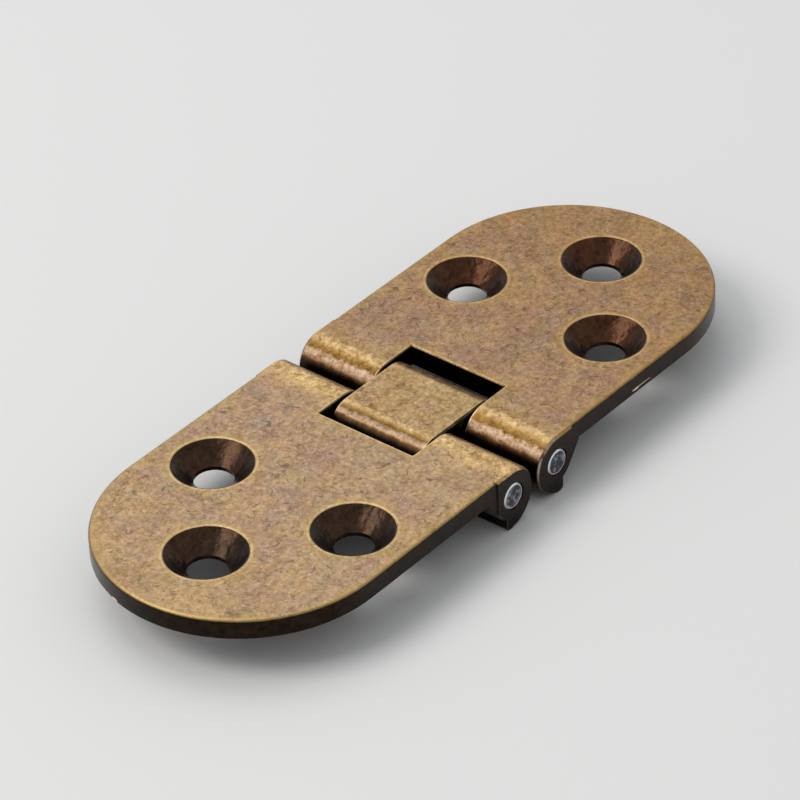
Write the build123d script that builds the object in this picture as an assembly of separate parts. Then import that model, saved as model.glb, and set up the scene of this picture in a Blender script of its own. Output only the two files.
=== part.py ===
from build123d import *
from math import acos, atan2, degrees, sqrt
import os

# Flip top hinge: two cast leaves, each with a pair of hooked knuckles, joined by a
# loose link that turns on a pin at each of its ends. All sizes are in millimetres.
# The origin is under the middle of the hinge, level with the toes that it stands on.
# +X runs along the hinge to the far leaf, +Y across it and +Z up.
# A leaf is drawn as the far one, on the +X side, and turned about +Z for the near one.

# The two leaves laid out flat
hinge_length = 79.0
hinge_width = 30.0
plate_thickness = 2.3
plate_top_round = 0.35
plate_bottom_bevel = 0.2

# The three countersunk screw holes in each leaf
hole_diameter = 4.0
pair_spacing = 17.5
side_spacing = 14.0
end_hole_inset = 9.1
countersink_diameter = 8.2
countersink_depth = 1.9
rim_bevel = 0.12

# The pins, and where their axes lie
pin_diameter = 3.0
pin_spacing = 6.8
pin_depth = 2.97
pin_bevel = 0.25
pin_grip = 0.005
running_clearance = 0.05

# The hooked side profile of a knuckle, about its pin
flank_radius = 3.5
toe_reach = 3.75
toe_tip_radius = 0.5
heel_radius = 2.55
web_reach = 3.6
boss_reach = 2.55
boss_proud = 0.15
boss_bevel = 0.25

# The notch between the two knuckles of a leaf, and the link that lies in it
notch_width = 11.7
notch_reach = 3.7
notch_corner_round = 0.2
notch_bevel = 0.12
link_side_clearance = 0.15
link_radius = 2.8
link_bevel = 0.2

# Heights and places that follow from these
pin_x = pin_spacing / 2
pin_z = toe_reach
top_z = pin_z + pin_depth
underside_z = top_z - plate_thickness
end_hole_x = hinge_length / 2 - end_hole_inset
pair_hole_x = end_hole_x - sqrt(side_spacing**2 - (pair_spacing / 2) ** 2)


def across(profile, breadth):
    """A solid whose side profile, drawn in X and Z, is carried across the hinge."""
    return extrude(Plane.XZ * profile, breadth / 2, both=True)


def across_bar(radius, breadth):
    """A round bar that lies across the hinge on the pin axis of the far leaf."""
    return Pos(pin_x, 0, pin_z) * Rot(90, 0, 0) * Cylinder(radius, breadth)


def plate():
    """The flat of a leaf: straight sides, a round end, a rounded top edge and a bevelled lower one."""
    end_radius = hinge_width / 2
    side_length = hinge_length / 2 - end_radius - pin_x
    outline = Pos(pin_x + side_length / 2, 0) * Rectangle(side_length, hinge_width)
    outline += Pos(pin_x + side_length, 0) * Circle(end_radius)
    outline -= Pos(pin_x - end_radius, 0) * Rectangle(2 * end_radius, 2 * hinge_width)
    flat = extrude(Pos(0, 0, underside_z) * outline, plate_thickness)
    top_edges = flat.edges().group_by(Axis.Z)[-1].sort_by(Axis.X)[1:]
    flat = fillet(top_edges, plate_top_round)
    lower_edges = flat.edges().group_by(Axis.Z)[0].sort_by(Axis.X)[1:]
    return chamfer(lower_edges, plate_bottom_bevel)


def knuckle_profile():
    """The side profile of a knuckle: nose, flank and toe in front, heel and web behind.

    The nose is an arc about the pin, as high as the leaf's top. In front of the pin it
    drops into the flank, a wider arc that runs down to the toe. The tip of the toe turns
    up again to the heel, an arc about the pin, and the straight web leaves the heel at a
    tangent for the underside of the plate.
    """
    nose_x = pin_x - pin_depth
    toe_x = nose_x + flank_radius
    toe_back_x = toe_x + toe_tip_radius
    heel_start_z = pin_z - sqrt(heel_radius**2 - (toe_back_x - pin_x) ** 2)
    web_x = pin_x + web_reach
    web_rise = underside_z - pin_z
    heel_start = degrees(atan2(heel_start_z - pin_z, toe_back_x - pin_x))
    heel_end = degrees(atan2(web_rise, web_reach) - acos(heel_radius / sqrt(web_reach**2 + web_rise**2)))

    nose = CenterArc((pin_x, pin_z), pin_depth, 90, 90)
    flank = CenterArc((toe_x, flank_radius), flank_radius, 180, 90)
    tip = CenterArc((toe_x, toe_tip_radius), toe_tip_radius, 270, 90)
    heel = CenterArc((pin_x, pin_z), heel_radius, heel_start, heel_end - heel_start)
    front = Line(nose @ 1, flank @ 0)
    back = Line(tip @ 1, heel @ 0)
    web = Polyline(heel @ 1, (web_x, underside_z), (web_x, top_z), nose @ 0)
    return make_face([nose, front, flank, tip, back, heel, web])


def knuckle_bar():
    """The knuckles before the notch parts them: a bossed bar with a web up to the plate."""
    profile = knuckle_profile()
    boss_x = pin_x + boss_reach
    web_top = top_z - plate_thickness / 2
    tall = 4 * top_z
    boss = across(profile & Pos(boss_x - tall / 2, 0) * Rectangle(tall, tall), hinge_width + 2 * boss_proud)
    for side in (0, -1):
        boss = chamfer(boss.faces().sort_by(Axis.Y)[side].edges(), boss_bevel)
    return boss + across(profile & Pos(pin_x + tall / 2, web_top - tall / 2) * Rectangle(tall, tall), hinge_width)


def screw_hole(x, y):
    """The cutter of one screw hole: a straight hole, a countersink and its bevelled rim."""
    hole_radius = hole_diameter / 2
    rim = (countersink_diameter / 2, top_z)
    edge_radius = countersink_diameter / 2 + 2 * rim_bevel
    section = make_face(
        Polyline(
            (0, 0),
            (hole_radius, 0),
            (hole_radius, top_z - countersink_depth),
            rim,
            (edge_radius, top_z),
            (edge_radius, 2 * top_z),
            (0, 2 * top_z),
            close=True,
        )
    )
    section = chamfer(section.vertices().sort_by_distance(rim)[0], rim_bevel)
    return Pos(x, y, 0) * revolve(Plane.XZ * section, Axis.Z)


def leaf():
    """The far leaf: a plate and two knuckles in one casting, notched, drilled and bored."""
    notch_x = pin_x + notch_reach
    notch = Pos(notch_x - hinge_width / 2, 0) * Rectangle(hinge_width, notch_width)
    notch = fillet(notch.vertices().group_by(Axis.X)[-1], notch_corner_round)
    casting = plate() + knuckle_bar() - extrude(notch, 2 * top_z)
    casting -= across_bar(pin_diameter / 2 - pin_grip, 2 * hinge_width)
    for x, y in ((end_hole_x, 0), (pair_hole_x, pair_spacing / 2), (pair_hole_x, -pair_spacing / 2)):
        casting -= screw_hole(x, y)
    top_edges = casting.edges().filter_by_position(Axis.Z, top_z, top_z)
    notch_edges = top_edges.filter_by_position(Axis.Y, -notch_width / 2, notch_width / 2)
    notch_edges = notch_edges.filter_by_position(Axis.X, 0, notch_x)
    return chamfer(notch_edges, notch_bevel)


def link():
    """The loose link: a flat-sided bar with round ends, bored for both pins."""
    outline = Pos(0, pin_z) * SlotCenterToCenter(pin_spacing, 2 * link_radius)
    bar = across(outline, notch_width - 2 * link_side_clearance)
    for side in (0, -1):
        bar = chamfer(bar.faces().sort_by(Axis.Y)[side].edges(), link_bevel)
    bore = across_bar(pin_diameter / 2 + running_clearance, notch_width)
    return bar - bore - Rot(0, 0, 180) * bore


def pin():
    """The far leaf's pin: a plain steel rod, bevelled at its ends and flush with the bosses."""
    rod = across_bar(pin_diameter / 2, hinge_width + 2 * boss_proud)
    return chamfer(rod.edges().filter_by(GeomType.CIRCLE), pin_bevel)


turned = Rot(0, 0, 180)
far_leaf = leaf()
far_pin = pin()
sub_parts = {
    "near_leaf": turned * far_leaf,
    "near_pin": turned * far_pin,
    "centre_link": link(),
    "far_pin": far_pin,
    "far_leaf": far_leaf,
}

os.makedirs("parts", exist_ok=True)
for name, solid in sub_parts.items():
    export_step(solid, f"parts/{name}.step")
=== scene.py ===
import functools
import math

import bpy
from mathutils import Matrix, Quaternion, Vector

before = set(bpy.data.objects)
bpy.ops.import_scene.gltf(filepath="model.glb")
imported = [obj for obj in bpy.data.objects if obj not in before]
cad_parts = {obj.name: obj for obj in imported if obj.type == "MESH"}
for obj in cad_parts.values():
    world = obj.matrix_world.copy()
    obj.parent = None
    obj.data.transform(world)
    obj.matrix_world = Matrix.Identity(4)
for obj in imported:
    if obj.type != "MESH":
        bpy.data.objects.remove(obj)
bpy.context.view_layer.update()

# The hinge lies flat on pale paper, on the toes of its knuckles, in a pale room with a
# softbox on the left and a wider, weaker one above and behind. The camera looks down
# over the near leaf's end, from about 40 degrees to the right of the hinge's length.
paper_colour = (0.88, 0.875, 0.86, 1)
paper_roughness = 0.9
paper_half_width = 1.5
paper_corners = ((-1, -1), (1, -1), (1, 1), (-1, 1))
room_colour = (0.95, 0.97, 1.0, 1)
room_light = 0.48
room_shown = 0.84
softboxes = {
    "left_softbox": {
        "place": (-0.45, 0.33, 0.60),
        "width": 0.40,
        "power": 2.5,
        "tint": (1.0, 0.98, 0.95),
    },
    "top_softbox": {
        "place": (0.10, 0.30, 0.70),
        "width": 0.50,
        "power": 1.0,
        "tint": (0.98, 0.99, 1.0),
    },
}
camera_aim = Vector((-0.000792, 0.000874, 0.00672))
camera_azimuth = 49.28
camera_elevation = 35.53
camera_roll = -2.49
camera_distance = 0.44326
camera_lens = 205.2


def facing(direction):
    """The turn that points an object's -Z along a direction with its +Y upward."""
    return Vector(direction).to_track_quat("-Z", "Y")


scene = bpy.context.scene
scene.view_settings.view_transform = "Standard"

paper_mesh = bpy.data.meshes.new("paper")
paper_points = [(x * paper_half_width, y * paper_half_width, 0) for x, y in paper_corners]
paper_mesh.from_pydata(paper_points, [], [(0, 1, 2, 3)])
paper = bpy.data.objects.new("paper", paper_mesh)
scene.collection.objects.link(paper)
paper_finish = bpy.data.materials.new("paper")
paper_finish.use_nodes = True
paper_shader = paper_finish.node_tree.nodes["Principled BSDF"]
paper_shader.inputs["Base Color"].default_value = paper_colour
paper_shader.inputs["Roughness"].default_value = paper_roughness
paper_mesh.materials.append(paper_finish)

# The camera and the metal see the room brighter than the light that it gives
room = bpy.data.worlds.new("room")
room.use_nodes = True
backdrop = room.node_tree.nodes["Background"]
backdrop.inputs["Color"].default_value = room_colour
ray = room.node_tree.nodes.new("ShaderNodeLightPath")
seen = room.node_tree.nodes.new("ShaderNodeMath")
seen.operation = "MAXIMUM"
room.node_tree.links.new(ray.outputs["Is Camera Ray"], seen.inputs[0])
room.node_tree.links.new(ray.outputs["Is Glossy Ray"], seen.inputs[1])
level = room.node_tree.nodes.new("ShaderNodeMapRange")
level.inputs["To Min"].default_value = room_light
level.inputs["To Max"].default_value = room_shown
room.node_tree.links.new(seen.outputs[0], level.inputs["Value"])
room.node_tree.links.new(level.outputs["Result"], backdrop.inputs["Strength"])
scene.world = room

for name, box in softboxes.items():
    lamp = bpy.data.lights.new(name, "AREA")
    lamp.size = box["width"]
    lamp.energy = box["power"]
    lamp.color = box["tint"]
    softbox = bpy.data.objects.new(name, lamp)
    softbox.location = box["place"]
    softbox.rotation_mode = "QUATERNION"
    softbox.rotation_quaternion = facing(camera_aim - softbox.location)
    scene.collection.objects.link(softbox)

azimuth, elevation = math.radians(camera_azimuth), math.radians(camera_elevation)
sight = Vector((
    math.sin(azimuth) * math.cos(elevation),
    math.cos(azimuth) * math.cos(elevation),
    -math.sin(elevation),
))
camera_data = bpy.data.cameras.new("camera")
camera_data.lens = camera_lens
camera_data.clip_start = 0.01
camera_data.clip_end = 10
camera = bpy.data.objects.new("camera", camera_data)
camera.location = camera_aim - sight * camera_distance
camera.rotation_mode = "QUATERNION"
camera.rotation_quaternion = facing(sight) @ Quaternion((0, 0, 1), math.radians(camera_roll))
scene.collection.objects.link(camera)
scene.camera = camera

# Each leaf is one brass casting: a plate with two hooked knuckles. It was blackened all
# over and then buffed from above, which left the sides, the countersinks and the
# underside dark and brought up gold where the wheel bore hardest, along every edge. The
# sides and underside are painted darker still as shade, and some highlights and
# reflections are painted in too.
rose_brass = (0.400, 0.262, 0.178, 1)
gold_brass = (0.470, 0.310, 0.150, 1)
grey_brass = (0.330, 0.255, 0.200, 1)
stroke_colour = (0.180, 0.108, 0.066, 1)
fleck_colour = (0.700, 0.500, 0.290, 1)
ochre_edge = (0.455, 0.305, 0.122, 1)
pale_edge = (0.700, 0.510, 0.270, 1)
scraped_brass = (0.850, 0.680, 0.430, 1)
dark_patina = (0.036, 0.024, 0.016, 1)
copper_patina = (0.056, 0.025, 0.014, 1)
# The boss rim's paler tone, partly rubbed brass and partly a painted highlight
rubbed_and_highlit_edge = (0.580, 0.465, 0.395, 1)
# The near leaf's knuckle gold, partly polish and partly a painted highlight
polish_and_highlight_gold = (0.720, 0.480, 0.205)
plain_tint = (1.00, 1.00, 1.00, 1)
# The far leaf's darker, browner tint, partly a deeper patina and partly painted shade
browning_and_shade_tint = (0.86, 0.78, 0.70, 1)
warm_tint = (1.06, 0.97, 0.96, 1)
cool_tint = (0.94, 1.03, 1.04, 1)
shade_tint = (0.74, 0.70, 0.62, 1)
light_tint = (1.26, 1.30, 1.38, 1)

# The colours painted where the metal rolls over a knuckle, by its slope in degrees: gold near
# the top, a dark band near 34 degrees and a paler one from 40 to 50, partly wear and partly a
# painted reflection
nose_wear_and_reflection = {
    7.0: (0.545, 0.378, 0.180, 1),
    13.0: (0.535, 0.365, 0.174, 1),
    20.0: (0.400, 0.258, 0.103, 1),
    27.0: (0.250, 0.143, 0.040, 1),
    34.0: (0.150, 0.083, 0.022, 1),
    40.0: (0.280, 0.192, 0.125, 1),
    50.0: (0.320, 0.222, 0.145, 1),
    55.0: (0.300, 0.180, 0.095, 1),
    60.0: (0.090, 0.045, 0.019, 1),
}

# The slopes between which each effect grows from nothing to its full strength
ochre_slopes = (14.0, 30.0)
# Steep edges are dimmed over these slopes, as painted shade
undimmed_slopes = (44.0, 26.0)
rolled_slopes = (-4.0, 8.0)
buffed_slopes = (78.0, 46.0)
buffed_nose_slopes = (68.0, 60.0)

# The plating's roughness where it is dark and least worn, and its relief in metres
coat_roughness = 0.30
plating_relief = 0.000012


class Field:
    """A value that varies over a surface. Arithmetic on it adds Math nodes to its finish."""

    def __init__(self, finish, socket):
        self.finish = finish
        self.socket = socket

    def math(self, operation, *others):
        """What one Math node makes of this value and the others."""
        made = self.finish.add("ShaderNodeMath", dict(enumerate((self, *others))), operation=operation)
        return Field(self.finish, made.outputs[0])

    def __add__(self, other):
        return self.math("ADD", other)

    def __sub__(self, other):
        return self.math("SUBTRACT", other)

    def __mul__(self, other):
        return self.math("MULTIPLY", other)

    def __abs__(self):
        return self.math("ABSOLUTE")

    def least(self, other):
        """The smaller of the two values at each point."""
        return self.math("MINIMUM", other)

    def most(self, other):
        """The larger of the two values at each point."""
        return self.math("MAXIMUM", other)

    def hypot(self, other):
        """The long side of the right-angled triangle whose short sides are the two values."""
        return (self * self + other * other).math("SQRT")

    def step(self, start, end):
        """Goes smoothly from 0 at start to 1 at end, whichever of the two is the larger."""
        made = self.finish.add(
            "ShaderNodeMapRange",
            {"Value": self, "From Min": start, "From Max": end},
            interpolation_type="SMOOTHSTEP",
        )
        return Field(self.finish, made.outputs["Result"])

    def hill(self, start, middle, end):
        """Rises smoothly from 0 at start to 1 at the middle and falls to 0 again at end."""
        return self.step(start, middle) * self.step(end, middle)


class Finish:
    """A procedural material, and what it knows of the points that it covers.

    place is where a point lies in millimetres in the hinge's own frame, and x, y and z
    are its parts. slope is the angle in degrees between the surface and the flat of the
    leaves: 0 on the countersunk side, 90 on the sides and 180 underneath. sideways is
    how squarely the surface faces across the hinge, from 0 to 1.
    """

    def __init__(self, name):
        self.material = bpy.data.materials.new(name)
        self.material.use_nodes = True
        self.tree = self.material.node_tree
        self.shader = self.tree.nodes["Principled BSDF"]
        points = self.tree.nodes.new("ShaderNodeTexCoord")
        self.place = self.scaled(points.outputs["Object"], 1000.0)
        parts = self.add("ShaderNodeSeparateXYZ", {0: self.place})
        self.x, self.y, self.z = (Field(self, parts.outputs[axis]) for axis in "XYZ")
        facing_parts = self.add("ShaderNodeSeparateXYZ", {0: points.outputs["Normal"]})
        self.slope = Field(self, facing_parts.outputs["Z"]).math("ARCCOSINE") * math.degrees(1)
        self.sideways = abs(Field(self, facing_parts.outputs["Y"]))

    def add(self, kind, inputs, **settings):
        """Adds a node with these settings, and feeds its inputs from values, sockets or fields."""
        made = self.tree.nodes.new(kind)
        for name, value in settings.items():
            setattr(made, name, value)
        for name, value in inputs.items():
            value = value.socket if isinstance(value, Field) else value
            if isinstance(value, bpy.types.NodeSocket):
                self.tree.links.new(value, made.inputs[name])
            else:
                made.inputs[name].default_value = value
        return made

    def feed(self, name, value):
        """Links a field or a colour to one of the shader's own sockets."""
        source = value.socket if isinstance(value, Field) else value
        self.tree.links.new(source, self.shader.inputs[name])

    def vector_math(self, operation, inputs):
        """What one Vector Math node makes of colours or places."""
        return self.add("ShaderNodeVectorMath", inputs, operation=operation).outputs[0]

    def moved(self, by):
        """The same places moved along, so that a pattern read there differs from the first one."""
        return self.vector_math("ADD", {0: self.place, 1: by})

    def scaled(self, colour, by):
        """A colour or a place, all of it multiplied by one value."""
        return self.vector_math("SCALE", {0: colour, "Scale": by})

    def tinted(self, colour, tint):
        """A colour with each of its parts multiplied by the same part of the tint."""
        return self.vector_math("MULTIPLY", {0: colour, 1: tint})

    def mixed(self, share, first, second):
        """The first colour where share is 0 and the second where it is 1, with no clamp beyond."""
        # Sockets 0, 6 and 7 of a Mix node take its factor and its two colours, and 2 gives the result
        inputs = {0: share, 6: first, 7: second}
        return self.add("ShaderNodeMix", inputs, data_type="RGBA", clamp_factor=False).outputs[2]

    def cloud(self, size, detail, roughness=0.5, warp=0.0, by=(0.0, 0.0, 0.0)):
        """Cloudy blotches of that size in millimetres, with most of their values within 0.5 of 0.

        detail is how many finer layers they have, and roughness how strong those are.
        """
        inputs = {
            "Vector": self.moved(by),
            "Scale": 1 / size,
            "Detail": detail,
            "Roughness": roughness,
            "Distortion": warp,
        }
        made = self.add("ShaderNodeTexNoise", inputs)
        return (Field(self, made.outputs["Fac"]) - 0.5) * 2.5

    def spots(self, apart, radius):
        """Round spots, 1 inside and 0 outside, with that radius and spacing in millimetres."""
        inputs = {"Vector": self.place, "Scale": 1 / apart, "Randomness": 1.0}
        made = self.add("ShaderNodeTexVoronoi", inputs)
        return Field(self, made.outputs["Distance"]).step(radius / apart, 0.5 * radius / apart)

    def strokes(self, size, width, rarity, by=(0.0, 0.0, 0.0)):
        """Short curved hairs.

        They lie on the line where one cloud passes through 0, as far to each side as it
        stays under width, and only where a second, finer cloud is above rarity.
        """
        path = abs(self.cloud(size, 1.0, warp=0.5, by=by))
        stretch = self.cloud(size * 0.55, 1.0, by=by)
        return path.step(width, width * 0.3) * stretch.step(rarity, rarity + 0.15)

    def banded(self, value, bands):
        """The colours of the bands, each at its own value, with smooth runs from one to the next."""
        last = max(bands)
        ramp = self.add("ShaderNodeValToRGB", {0: value * (1 / last)})
        stops = ramp.color_ramp.elements
        while len(stops) < len(bands):
            stops.new(0.5)
        for stop, (at, colour) in zip(stops, bands.items()):
            stop.position = at / last
            stop.color = colour
        return ramp.outputs["Color"]


def antique_plating(
    finish, slope, rim, lip, nose, coat_and_shade, browning_and_shade, mottling, polish_and_highlight=0.0, recess=0.0, edge=0.0, scraped=0.0
):
    """Paints and roughens brass that was blackened and then buffed from above, with some shade,
    highlights and reflections painted in.

    slope is the angle in degrees that the surface has turned away from the flat. rim is 1 on an
    edge of the flat and falls to 0 away from it, lip is 1 on the thin bright line beside a bevel,
    and nose is 1 where the metal rolls over a knuckle. coat is how light the dark patina is, kept
    lower in places as painted shade, and copper is how far metal and patina go a darker, redder
    brown, on a leaf partly as painted shade. mottling is how strongly the light and dark patches
    show. polished is 1 where rubbing and a painted highlight bring the gold up brightest, recess
    is 1 where the wheel couldn't reach, edge is 1 where a dark edge is paler, partly rubbed and
    partly a painted highlight, and scraped is 1 on bare scrapes. The plain numbers are each pattern's
    share, judged.
    """
    # Patches and grain, the dark hairs and pits in them, and bright flecks
    drift = finish.cloud(6.0, 4.0, roughness=0.65)
    gilt = finish.cloud(2.0, 5.0, roughness=0.7, by=(13.0, 1.0, 6.0))
    blush = finish.cloud(2.6, 5.0, roughness=0.7, by=(4.0, 21.0, 8.0))
    mottle = finish.cloud(1.2, 5.0, roughness=0.7)
    grain = finish.cloud(0.45, 3.0, roughness=0.7, by=(11.0, 5.0, 3.0))
    ridges = abs(finish.cloud(0.6, 3.0, roughness=0.6, warp=0.6, by=(3.0, 17.0, 9.0)))
    tarnish = finish.cloud(3.2, 4.0, roughness=0.6, by=(7.0, 2.0, 19.0))
    marks = finish.strokes(1.7, 0.075, 0.22)
    marks = marks.most(finish.strokes(1.1, 0.085, 0.29, by=(31.0, 7.0, 1.0)))
    marks = marks.most(finish.strokes(3.0, 0.045, 0.18, by=(17.0, 29.0, 2.0)) * 1.2)
    marks = marks.most(finish.spots(1.9, 0.13))
    flecks = finish.cloud(0.5, 2.0, by=(5.0, 23.0, 13.0)).step(0.32, 0.62)
    flecks = flecks.most(finish.strokes(1.3, 0.060, 0.30, by=(12.0, 3.0, 22.0)))

    # The slope as the wheel found it, which makes the ends of the gold ragged
    bent = slope + finish.cloud(1.1, 3.0, by=(2.0, 9.0, 4.0)) * 6.0 + grain * 5.0

    # The buffed flat: rose and gold with grey tarnish, patches, flecks and hairs
    golden = drift * 0.6 + gilt * 0.9 + mottle * 0.2 + rim * 0.6 + 0.42
    tone = finish.mixed(golden.step(0.0, 1.0), rose_brass, gold_brass)
    tone = finish.mixed(tarnish.step(0.12, 0.50) * 0.45, tone, grey_brass)
    tone = finish.tinted(tone, finish.mixed(blush + 0.5, cool_tint, warm_tint))
    patches = grain * 1.05 + mottle * 0.66 + drift * 0.16 + ridges.step(0.0, 0.30) * 0.36 - 0.18
    depth = patches * (rim * rim * 0.5 + mottling) + 0.5
    light = finish.mixed(depth, shade_tint, light_tint)
    tone = finish.tinted(tone, light)
    tone = finish.mixed(flecks * (rim * 0.4 + 0.4), tone, fleck_colour)
    tone = finish.mixed(marks * 0.68, tone, stroke_colour)

    # The edges, dimmed where steep as painted shade, the roll over a knuckle, partly wear and
    # partly a painted reflection, the polished band, partly a painted highlight, the thin bright
    # lines, and the far leaf's darker tint, partly painted shade
    patchy = mottle * 1.1 + grain * 0.8 + 0.6
    worn = bent.step(*ochre_slopes) * patchy
    tone = finish.mixed(worn.most(rim * rim * (gilt * 0.9 + 0.6)), tone, ochre_edge)
    # Painted shade: the tone dims to 70 percent where the surface turns from 26 to 44 degrees and beyond
    tone = finish.scaled(tone, bent.step(*undimmed_slopes) * 0.3 + 0.7)
    # The knuckle bands, partly wear and partly a painted reflection
    rolled_wear_and_reflection = finish.tinted(finish.banded(bent, nose_wear_and_reflection), light)
    tone = finish.mixed(bent.step(*rolled_slopes) * nose, tone, rolled_wear_and_reflection)
    # Painted highlight, partly polish: the near leaf's knuckles brightened toward gold
    burnish_and_highlight = (mottle * 0.4 + 0.8 - marks * 0.5) * polish_and_highlight * 0.78
    tone = finish.mixed(burnish_and_highlight, tone, finish.tinted(light, polish_and_highlight_gold))
    tone = finish.mixed((lip * patchy).least(1.0).most(0.0), tone, pale_edge)
    # The far leaf, and the link where stained, tinted darker and browner; on the leaf partly a deeper
    # patina and partly painted shade
    tone = finish.tinted(tone, finish.mixed(browning_and_shade, plain_tint, browning_and_shade_tint))

    # The dark patina, which stays where the metal is steep or the wheel couldn't reach. It is
    # kept darker in places as painted shade, and a boss's rim is paler, partly rubbed and partly
    # a painted highlight
    redness = (browning_and_shade * 0.6 + drift * 0.9 + 0.4) * (recess * 0.6 + 0.4)
    patina = finish.mixed(redness, dark_patina, copper_patina)
    # The patina's level, on the leaves' sides and underside and the link's ends partly painted shade
    patina = finish.scaled(patina, (grain * 0.6 + mottle * 0.9 + 1.0) * coat_and_shade)
    # A boss's rim is paler, partly rubbed and partly a painted highlight
    patina = finish.mixed((mottle * 0.8 + 0.7) * edge, patina, rubbed_and_highlit_edge)
    buffed = bent.step(*buffed_slopes).most(bent.step(*buffed_nose_slopes) * nose)
    buffed = buffed * (recess * -1.0 + 1.0)
    tone = finish.mixed(buffed, patina, tone)
    finish.feed("Base Color", finish.mixed(scraped, tone, scraped_brass))

    # The shine, and a relief of grain, hairs and brushed edges
    finish.shader.inputs["Metallic"].default_value = 1.0
    finish.feed("Roughness", buffed * 0.16 + grain * 0.06 + mottle * 0.05 + coat_roughness)
    height = (grain * 0.5 + mottle * 0.5 + ridges * 0.4 - marks * 0.35) * (buffed * 0.8 + 0.2)
    height = height * (rim.step(0.7, 1.0) * 4.0 + 1.0)
    height = height + finish.cloud(1.2, 2.0, by=(15.0, 2.0, 25.0)) * recess * 10.0
    relief = finish.add("ShaderNodeBump", {"Strength": 0.6, "Distance": plating_relief, "Height": height})
    finish.feed("Normal", relief.outputs["Normal"])


# The leaf's own sizes in millimetres, as on the far leaf, from the hinge's middle
half_width = 15.0
end_centre = 24.5
hole_places = ((30.4, 0.0), (19.471, 8.75))
rim_radius = 4.1
notch_end = 7.1
notch_half_width = 5.85
pin_x = 3.4
pin_z = 3.75
bore_radius = 1.5

# How far each mark of wear, painted shade or painted highlight reaches, as the places in
# millimetres where it starts and is full, and ends if it does. Gaps are measured outward from
# a hole, notch or bore.
rim_reach = (1.5, 0.0)
rubbed_knuckle = (5.6, 3.8)
rubbed_end = (14.0, 44.0)
roll_over_knuckle = (3.9, 3.3)
# The near leaf's knuckle band, partly polish and partly a painted highlight
polish_and_highlight_band = (-7.2, -2.8, -1.9)
hole_lip = (0.0, 0.16, 0.40)
notch_lip = (0.02, 0.14, 0.32)
countersink_dark = (0.02, -0.03)
bore_dark = (0.06, 0.02)
notch_dark = (0.14, 0.06)
boss_bevel = (14.90, 15.03, 15.16)
boss_end = (5.7, 5.4)
# The boss rim grows paler from 0.5 to 6 mm up, as a painted highlight
boss_rim_highlight_height = (0.5, 6.0)
# The far leaf grows darker and browner, partly a deeper patina and partly painted shade
browning_and_shade_middle = (-8.0, 14.0)
browning_and_shade_far_end = (10.0, 42.0)

# The slopes in degrees between which the underside gives way to the rest, and how
# squarely the bevel of a boss faces across the hinge
above_underside = (120.0, 100.0)
bevel_facing = (0.45, 0.70, 0.92)

# Bare scrapes on the far leaf's side and the near leaf's end
scrapes = (
    {"at": (16.2, -15.0, 5.05), "length": 0.50, "height": 0.13},
    {"at": (17.4, -15.0, 5.10), "length": 1.10, "height": 0.06},
    {"at": (-38.98, 3.91, 4.72), "length": 0.60, "height": 0.16},
    {"at": (-38.40, 5.50, 4.66), "length": 1.30, "height": 0.07},
)

leaf_finish = Finish("antique_leaf")
x, y, z = leaf_finish.x, leaf_finish.y, leaf_finish.z
along, across = abs(x), abs(y)
outline_gap = (along - end_centre).most(0.0).hypot(across) * -1.0 + half_width
hole_gaps = [(along - hole_x).hypot(across - hole_y) - rim_radius for hole_x, hole_y in hole_places]
hole_gap = functools.reduce(Field.least, hole_gaps)
notch_gap = (along - notch_end).most(across - notch_half_width)
bore_gap = (along - pin_x).hypot(z - pin_z) - bore_radius

rim = outline_gap.least(hole_gap).least(notch_gap).step(*rim_reach)
rim = rim.most(along.step(*rubbed_knuckle) * 0.7).most(along.step(*rubbed_end) * 0.5)
lip = hole_gap.hill(*hole_lip).most(notch_gap.hill(*notch_lip) * 1.2)
nose = along.step(*roll_over_knuckle)
recess = hole_gap.step(*countersink_dark) * leaf_finish.slope.step(*above_underside)
recess = recess.most(bore_gap.step(*bore_dark)).most(notch_gap.step(*notch_dark) * 0.75)
# A boss's bevel is painted paler, partly rubbed and partly a painted highlight that grows toward its top
edge = leaf_finish.sideways.hill(*bevel_facing) * across.hill(*boss_bevel) * along.step(*boss_end)
edge = edge * (z.step(*boss_rim_highlight_height) * 0.8 + 0.2)
# The far leaf, and its far end more, is tinted darker and browner, partly a deeper patina and partly
# painted shade
wandering_x = x + leaf_finish.cloud(9.0, 2.0) * 5.0
browning_and_shade = wandering_x.step(*browning_and_shade_middle) * 0.8 + wandering_x.step(*browning_and_shade_far_end) * 0.45
# The near leaf's knuckles are brightened in a ragged band, partly polish and partly a painted highlight
ragged_x = x + leaf_finish.cloud(1.5, 3.0, by=(8.0, 14.0, 3.0)) * 0.8
polish_and_highlight = ragged_x.hill(*polish_and_highlight_band)

scrape_gaps = []
for scrape in scrapes:
    scrape_x, scrape_y, scrape_z = scrape["at"]
    run = (x - scrape_x).hypot(y - scrape_y) * (1 / scrape["length"])
    rise = (z - scrape_z) * (1 / scrape["height"])
    scrape_gaps.append(run.hypot(rise))
scrape_gap = functools.reduce(Field.least, scrape_gaps)
scraped = (scrape_gap + leaf_finish.cloud(0.4, 3.0, by=(6.0, 6.0, 2.0)) * 0.5).step(1.1, 0.7)

antique_plating(
    leaf_finish,
    slope=leaf_finish.slope,
    rim=rim,
    lip=lip,
    nose=nose,
    # The patina is darker outside the countersinks, bores and notches, on the sides and underside partly
    # as painted shade
    coat_and_shade=recess * 0.40 + 0.50,
    browning_and_shade=browning_and_shade,
    mottling=nose * 0.3 + 1.0,
    polish_and_highlight=polish_and_highlight,
    recess=recess,
    edge=edge,
    scraped=scraped,
)
for name in ("near_leaf", "far_leaf"):
    bpy.data.objects[name].data.materials[0] = leaf_finish.material

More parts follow.
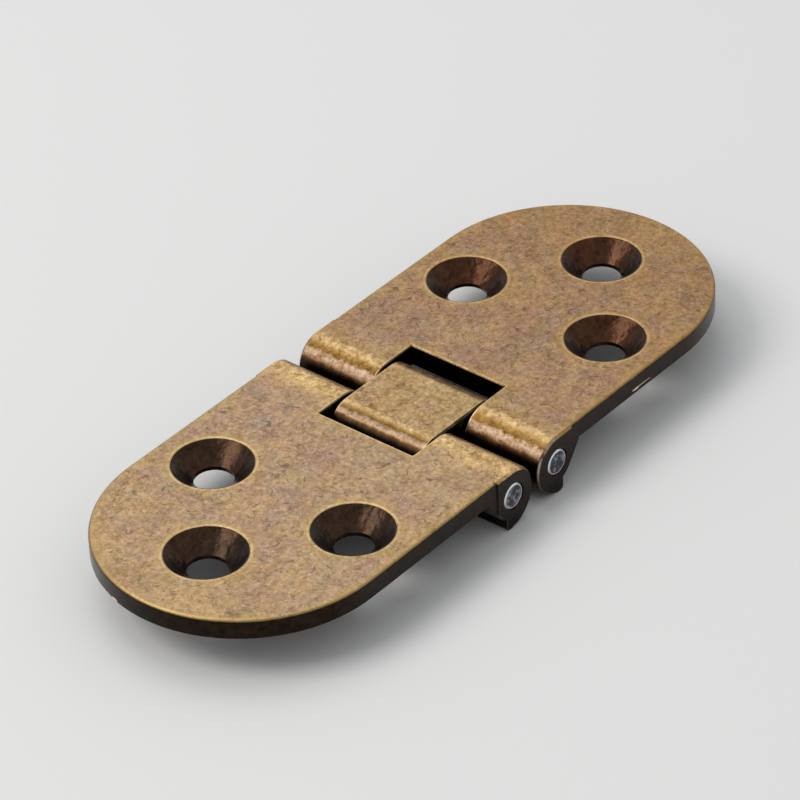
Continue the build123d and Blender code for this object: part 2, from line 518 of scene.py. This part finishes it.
# The link is a loose brass block in the notches, bored for both pins. It has the same
# blackened and buffed finish, with gold along its sides and where its ends turn down. Its
# smaller ends run through the colours of a knuckle's roll in fewer degrees, partly wear and
# partly a painted reflection, and then turn darkest, as painted shade.
link_half_width = 5.7
link_rim_reach = 1.2
link_rubbed = 0.75
link_lip_reach = 0.42
link_lip_peak = 0.15
link_roll = (2.9, 3.5)
link_band_and_shade_gain = 1.55
link_side_slopes = (60.0, 110.0)

link_finish = Finish("antique_link")
across = abs(link_finish.y)
lip_start, lip_middle = link_half_width - link_lip_reach, link_half_width - link_lip_peak
nose = abs(link_finish.x).step(*link_roll)
stained = link_finish.cloud(1.6, 4.0, roughness=0.65, by=(9.0, 3.0, 27.0)).step(0.0, 0.6)
antique_plating(
    link_finish,
    # The slope is stretched so that the ends run through the bands and turn dark sooner, as painted
    # reflection and shade
    slope=link_finish.slope * link_band_and_shade_gain,
    rim=across.step(link_half_width - link_rim_reach, link_half_width).most(link_rubbed),
    lip=across.hill(lip_start, lip_middle, link_half_width),
    nose=nose,
    # The patina is darkest where the ends roll down, as painted shade
    coat_and_shade=link_finish.slope.step(*link_side_slopes) * 0.45 + 0.15,
    browning_and_shade=stained * 2.2,
    mottling=nose * -0.5 + 1.45,
)
bpy.data.objects["centre_link"].data.materials[0] = link_finish.material

# The pins are bare steel rod, cut off and bevelled in the lathe, pressed through the
# knuckles of their own leaf. Only their ends show, flush with the bosses, with a dark grey
# middle, partly stain and partly a painted dark reflection, fine rings from the cut and a
# bright bevel.
steel = (0.68, 0.70, 0.72, 1)
# The middle's greys are dark partly from stain and partly as a painted dark reflection
grey_steel_and_shade = (0.30, 0.31, 0.34, 1)
stained_steel_and_shade = (0.055, 0.057, 0.065, 1)
steel_roughness = 0.32
steel_relief = 0.000008
bright_bevel = (1.10, 1.25)

# Radians of a sine wave in each millimetre, which makes its rings 0.12 mm apart
ring_radians = 52.0

pin_finish = Finish("turned_steel")
from_axis = (abs(pin_finish.x) - pin_x).hypot(pin_finish.z - pin_z)
stain = pin_finish.cloud(0.7, 4.0, roughness=0.65).step(-0.30, 0.12)
bright = (from_axis + pin_finish.cloud(0.6, 2.0) * 0.1).step(*bright_bevel)
tone = pin_finish.mixed(stain, grey_steel_and_shade, stained_steel_and_shade)
pin_finish.feed("Base Color", pin_finish.mixed(bright, tone, steel))
pin_finish.shader.inputs["Metallic"].default_value = 1.0
pin_finish.feed("Roughness", stain * 0.15 - bright * 0.08 + steel_roughness)
height = (from_axis * ring_radians).math("SINE") + stain
relief = pin_finish.add("ShaderNodeBump", {"Strength": 0.4, "Distance": steel_relief, "Height": height})
pin_finish.feed("Normal", relief.outputs["Normal"])
for name in ("near_pin", "far_pin"):
    bpy.data.objects[name].data.materials[0] = pin_finish.material
